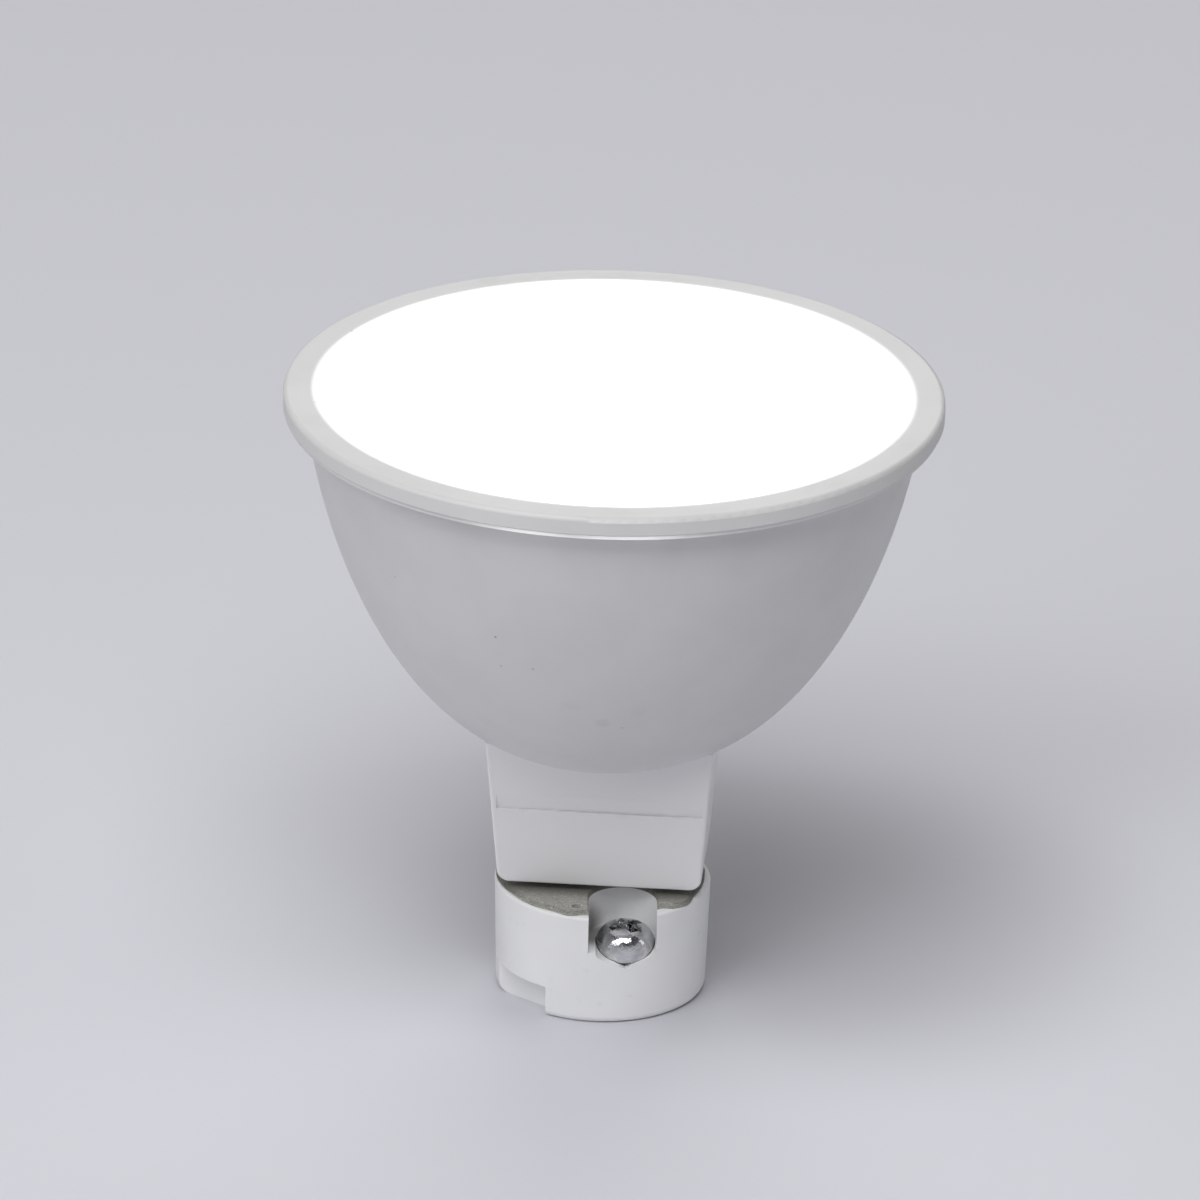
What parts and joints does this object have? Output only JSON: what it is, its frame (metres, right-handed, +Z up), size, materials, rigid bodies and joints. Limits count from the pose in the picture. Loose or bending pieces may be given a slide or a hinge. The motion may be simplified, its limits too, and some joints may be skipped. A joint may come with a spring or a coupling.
{
  "type": "led spotlight bulb in a ceramic lamp holder",
  "caption": "Reflector spotlight bulb with a white cup, flat neck and milky front disc, plugged by its contact pins into a small round ceramic holder with a mica plate.",
  "frame": {"origin": "centre of the lamp holder's underside, on the lamp axis", "axes": "+Z up the lamp axis towards the lit front, +X along the line of the contact pins, -Y the front as pictured"},
  "size_m": [0.05, 0.05, 0.0493],
  "materials": {
    "housing_plastic": "satin white moulding",
    "ring_plastic": "satin white moulding",
    "diffuser_milk": "milky, lit from behind",
    "holder_ceramic": "pale, semi-matt",
    "mica_sheet": "speckled mica sheet",
    "screw_zinc": "bright zinc",
    "pin_plate": "bright plated",
    "clip_spring": "plated spring strip",
    "sink_aluminium": "drawn, dull",
    "board_white": "white solder mask",
    "led_phosphor": "phosphor gel",
    "board_screw_steel": "plain",
    "driver_board_green": "green solder mask",
    "capacitor_sleeve": "shrunk sleeve",
    "film_box": "cast resin box",
    "ferrite": "matt, dark",
    "copper_wire": "enamelled copper",
    "chip_resin": "matt resin",
    "fuse_body": "coated",
    "link_tin": "tinned"
  },
  "bodies": {
    "holder": {"holder_body": "holder_ceramic", "mica_plate": "mica_sheet", "left_contact_clip": "clip_spring", "right_contact_clip": "clip_spring", "fixing_screws": "screw_zinc"},
    "bulb": {"housing": "housing_plastic", "front_ring": "ring_plastic", "diffuser": "diffuser_milk", "contact_pins": "pin_plate", "heat_sink": "sink_aluminium", "led_board": "board_white", "led_chips": "led_phosphor", "board_screws": "board_screw_steel", "driver_board": "driver_board_green", "smoothing_capacitor": "capacitor_sleeve", "film_capacitor": "film_box", "inductor_core": "ferrite", "inductor_winding": "copper_wire", "bridge_rectifier": "chip_resin", "driver_chip": "chip_resin", "fuse_resistor": "fuse_body", "link_pins": "link_tin"}
  },
  "joints": [
    {"name": "bulb_pull", "type": "slide", "parent": "holder", "child": "bulb", "axis": [0, 0, 1], "range_m": [0, 0.01]}
  ]
}
